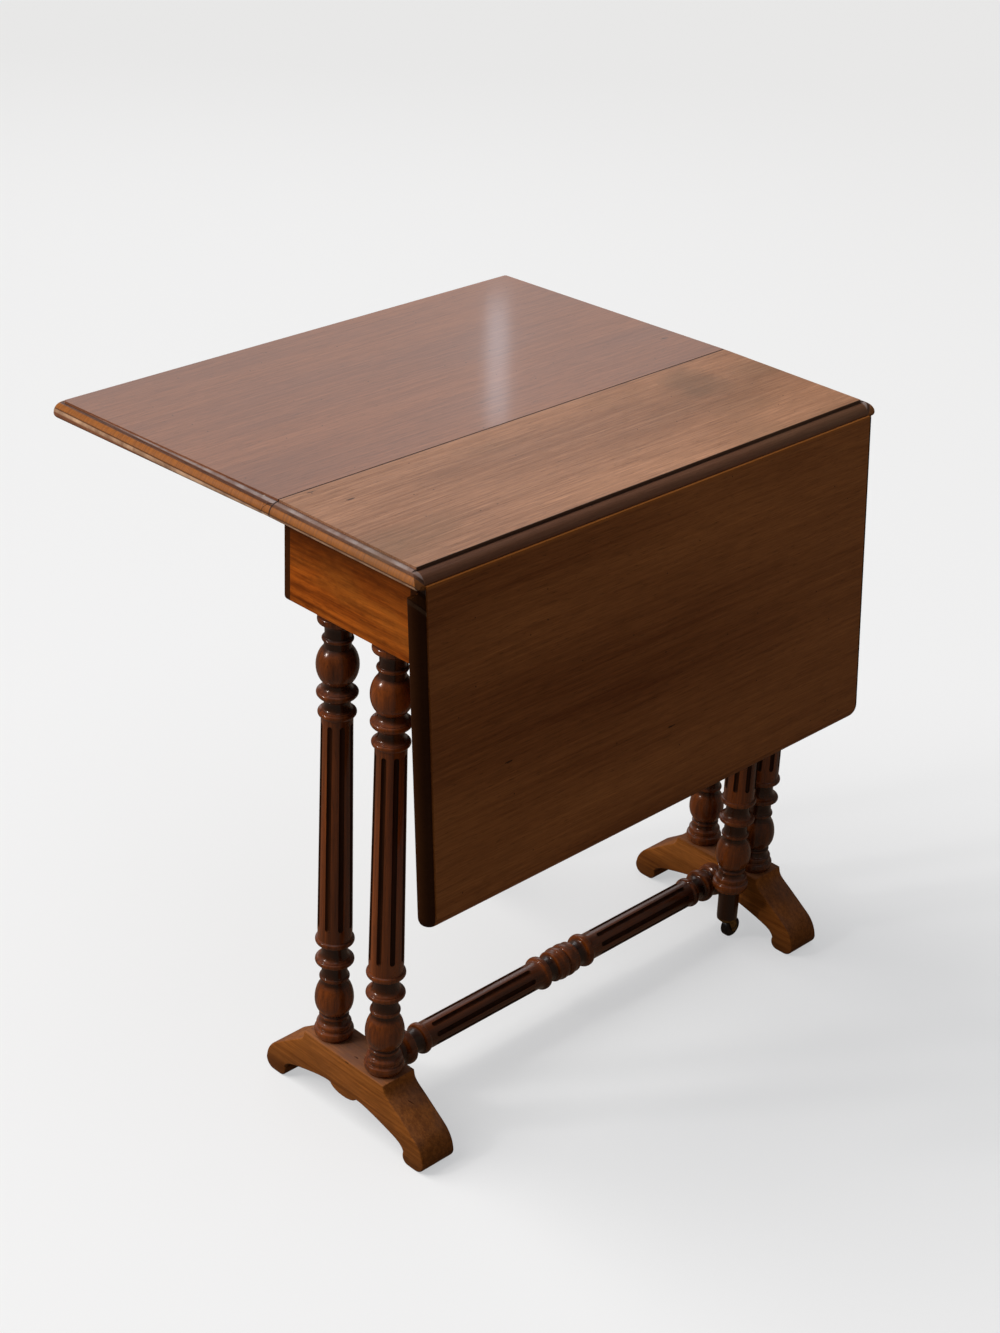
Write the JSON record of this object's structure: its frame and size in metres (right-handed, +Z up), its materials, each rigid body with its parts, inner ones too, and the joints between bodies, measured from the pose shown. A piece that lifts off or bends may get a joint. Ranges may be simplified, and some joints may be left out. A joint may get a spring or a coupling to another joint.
{
  "type": "drop-leaf side table",
  "caption": "Narrow side table with two deep drop leaves on rule joints, turned and fluted columns on shaped trestle feet, a turned stretcher and swing legs on castors.",
  "frame": {"origin": "on the floor, under the middle of the table's outline as it stands, with the left leaf up and the right leaf hanging", "axes": "+Z up; +Y along the length of the table, towards the end that the folded legs lie against; +X across, towards the hanging leaf"},
  "size_m": [0.6167, 0.694, 0.71],
  "materials": {
    "top_boards": "worn french polish, satin with a greyish sheen",
    "leaf_boards": "worn french polish, satin",
    "rails": "orange-brown polish, satin",
    "inner_wood": "bare, unfinished",
    "turned_wood": "dark red-brown polish, glossy",
    "feet": "brown polish, satin",
    "brass": "aged, dull",
    "iron": "aged, dark",
    "castor_wheels": "black, worn"
  },
  "bodies": {
    "frame": {"centre_top": "top_boards", "end_rail_near": "rails", "end_rail_far": "rails", "inner_rail_left": "inner_wood", "inner_rail_right": "inner_wood", "side_rail_left": "rails", "side_rail_right": "rails", "rail_stub_left": "rails", "rail_stub_right": "rails", "column_near_left": "turned_wood", "column_near_right": "turned_wood", "column_far_left": "turned_wood", "column_far_right": "turned_wood", "foot_near": "feet", "foot_far": "feet", "stretcher": "turned_wood", "glue_block_near_left": "inner_wood", "glue_block_near_right": "inner_wood", "glue_block_far_left": "inner_wood", "glue_block_far_right": "inner_wood", "block_screws": "iron", "knuckle_pin_left": "iron", "knuckle_pin_right": "iron", "fixed_flap_near_left": "brass", "fixed_flap_far_left": "brass", "fixed_flap_near_right": "brass", "fixed_flap_far_right": "brass", "hinge_pin_near_left": "iron", "hinge_pin_far_left": "iron", "hinge_pin_near_right": "iron", "hinge_pin_far_right": "iron", "fixed_flap_screws": "iron"},
    "left_leaf": {"left_leaf": "leaf_boards", "leaf_flap_near_left": "brass", "leaf_flap_far_left": "brass", "leaf_flap_screws_left": "iron"},
    "right_leaf": {"right_leaf": "leaf_boards", "leaf_flap_near_right": "brass", "leaf_flap_far_right": "brass", "leaf_flap_screws_right": "iron"},
    "gate_left": {"fly_rail_left": "rails", "leg_left": "turned_wood", "leg_screws_left": "iron", "castor_socket_left": "brass"},
    "castor_left": {"castor_horn_left": "brass", "castor_axle_left": "iron"},
    "wheel_left": {"castor_wheel_left": "castor_wheels"},
    "gate_right": {"fly_rail_right": "rails", "leg_right": "turned_wood", "leg_screws_right": "iron", "castor_socket_right": "brass"},
    "castor_right": {"castor_horn_right": "brass", "castor_axle_right": "iron"},
    "wheel_right": {"castor_wheel_right": "castor_wheels"}
  },
  "joints": [
    {"name": "left_leaf_lift", "type": "hinge", "parent": "frame", "child": "left_leaf", "pos_m": [0.06458, 0, 0.6945], "axis": [0, 1, 0], "range_deg": [0, 1.4]},
    {"name": "right_leaf_lift", "type": "hinge", "parent": "frame", "child": "right_leaf", "pos_m": [0.26458, 0, 0.6945], "axis": [0, -1, 0], "range_deg": [0, 85.5]},
    {"name": "left_leg_swing", "type": "hinge", "parent": "frame", "child": "gate_left", "pos_m": [0.07803, 0.06, 0.602], "axis": [0, 0, -1], "range_deg": [0, 90]},
    {"name": "right_leg_swing", "type": "hinge", "parent": "frame", "child": "gate_right", "pos_m": [0.25113, 0.06, 0.602], "axis": [0, 0, -1], "range_deg": [0, 0.6]},
    {"name": "left_castor_swivel", "type": "hinge", "parent": "gate_left", "child": "castor_left", "pos_m": [-0.11997, 0.10055, 0.031], "axis": [0, 0, 1], "continuous": true},
    {"name": "right_castor_swivel", "type": "hinge", "parent": "gate_right", "child": "castor_right", "pos_m": [0.21058, 0.258, 0.031], "axis": [0, 0, 1], "continuous": true},
    {"name": "left_wheel_roll", "type": "hinge", "parent": "castor_left", "child": "wheel_left", "pos_m": [-0.12797, 0.10055, 0.013], "axis": [0, 1, 0], "continuous": true},
    {"name": "right_wheel_roll", "type": "hinge", "parent": "castor_right", "child": "wheel_right", "pos_m": [0.21058, 0.266, 0.013], "axis": [1, 0, 0], "continuous": true}
  ]
}
